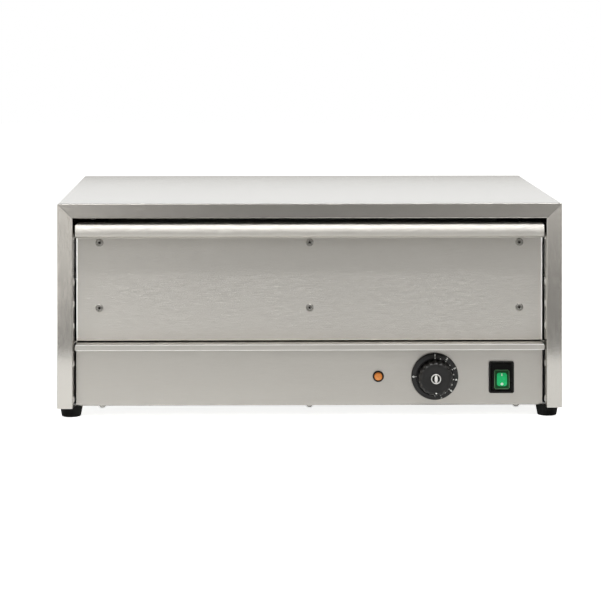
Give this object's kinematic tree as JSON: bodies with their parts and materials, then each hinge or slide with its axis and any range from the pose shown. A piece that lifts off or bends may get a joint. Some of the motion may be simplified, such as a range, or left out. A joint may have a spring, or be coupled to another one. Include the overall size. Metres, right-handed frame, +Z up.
{
  "type": "bun warmer",
  "caption": "Countertop stainless bun warmer: a low cabinet with one full-width pull-out drawer over a control panel with a thermostat knob, pilot lamp and rocker switch.",
  "frame": {"origin": "centre of the bounding box at the floor, under the feet", "axes": "+Z up, +X to the right seen from the front, +Y towards the back; the drawer opens towards -Y"},
  "size_m": [0.508, 0.428, 0.217],
  "materials": {
    "stainless_shell": "satin, grain along each panel",
    "stainless_front": "satin, horizontal grain",
    "stainless_inside": "mill finish",
    "galvanised": "mill finish",
    "fastener_steel": "bright",
    "zinc_rail": "bright zinc",
    "cage_steel": "plain",
    "ball_steel": "polished",
    "element_sheath": "dull oxide",
    "ceramic": "glazed",
    "shield_aluminium": "mill finish",
    "copper_bulb": "plain",
    "brass": "plain",
    "black_plastic": "moulded",
    "knob_plastic": "moulded, fluted grip",
    "paddle_plastic": "gloss",
    "chrome_trim": "polished",
    "spindle_steel": "turned",
    "amber_lens": "translucent",
    "green_lens": "translucent",
    "wire_insulation": "plain",
    "rubber": "matt"
  },
  "bodies": {
    "cabinet": {"outer_shell": "stainless_shell", "deck_plate": "stainless_front", "control_panel": "stainless_front", "inner_liner": "stainless_inside", "liner_back": "stainless_inside", "base_pan": "galvanised", "back_panel": "galvanised", "foot_screws": "fastener_steel", "liner_rivets": "fastener_steel", "base_screws": "fastener_steel", "back_screws": "fastener_steel", "rail_screws": "fastener_steel", "element_clips": "fastener_steel", "bulb_clips": "fastener_steel", "thermostat_screws": "fastener_steel", "cabinet_rail_left": "zinc_rail", "cabinet_rail_right": "zinc_rail", "heating_element": "element_sheath", "element_bushes": "ceramic", "terminal_block": "ceramic", "heat_shield": "shield_aluminium", "thermostat_bulb": "copper_bulb", "terminal_screws": "brass", "earth_stud": "brass", "thermostat_body": "black_plastic", "pilot_body": "black_plastic", "rocker_body": "black_plastic", "cable_gland": "black_plastic", "gland_nut": "black_plastic", "pilot_lens": "amber_lens", "wiring": "wire_insulation", "feet": "rubber", "drawer_buffers": "rubber"},
    "knob": {"spindle": "spindle_steel", "knob": "knob_plastic", "knob_cap": "chrome_trim"},
    "rocker": {"rocker_paddle": "paddle_plastic", "rocker_lens": "green_lens"},
    "mid_rails": {"mid_rail_left": "zinc_rail", "mid_rail_right": "zinc_rail"},
    "outer_cages": {"outer_cage_left": "cage_steel", "outer_cage_right": "cage_steel", "outer_balls": "ball_steel"},
    "inner_cages": {"inner_cage_left": "cage_steel", "inner_cage_right": "cage_steel", "inner_balls": "ball_steel"},
    "drawer": {"drawer_front": "stainless_front", "drawer_box": "stainless_inside", "drawer_floor": "stainless_inside", "drawer_rivets": "fastener_steel", "drawer_rail_left": "zinc_rail", "drawer_rail_right": "zinc_rail", "drawer_rail_rivets": "fastener_steel"}
  },
  "joints": [
    {"name": "drawer_slide", "type": "slide", "parent": "cabinet", "child": "drawer", "axis": [0, -1, 0], "range_m": [0, 0.33]},
    {"name": "mid_rail_slide", "type": "slide", "parent": "cabinet", "child": "mid_rails", "axis": [0, -1, 0], "range_m": [0, 0.165]},
    {"name": "outer_cage_slide", "type": "slide", "parent": "cabinet", "child": "outer_cages", "axis": [0, -1, 0], "range_m": [0, 0.0825]},
    {"name": "inner_cage_slide", "type": "slide", "parent": "cabinet", "child": "inner_cages", "axis": [0, -1, 0], "range_m": [0, 0.2475]},
    {"name": "thermostat_turn", "type": "hinge", "parent": "cabinet", "child": "knob", "pos_m": [0.1266, -0.192, 0.0403], "axis": [0, -1, 0], "range_deg": [-90, 180]},
    {"name": "rocker_tilt", "type": "hinge", "parent": "cabinet", "child": "rocker", "pos_m": [0.1942, -0.189, 0.0393], "axis": [1, 0, 0], "range_deg": [0, 14]}
  ],
  "couplings": [
    {"joint": "mid_rail_slide", "follows": "drawer_slide", "ratio": 0.5},
    {"joint": "outer_cage_slide", "follows": "drawer_slide", "ratio": 0.25},
    {"joint": "inner_cage_slide", "follows": "drawer_slide", "ratio": 0.75}
  ]
}
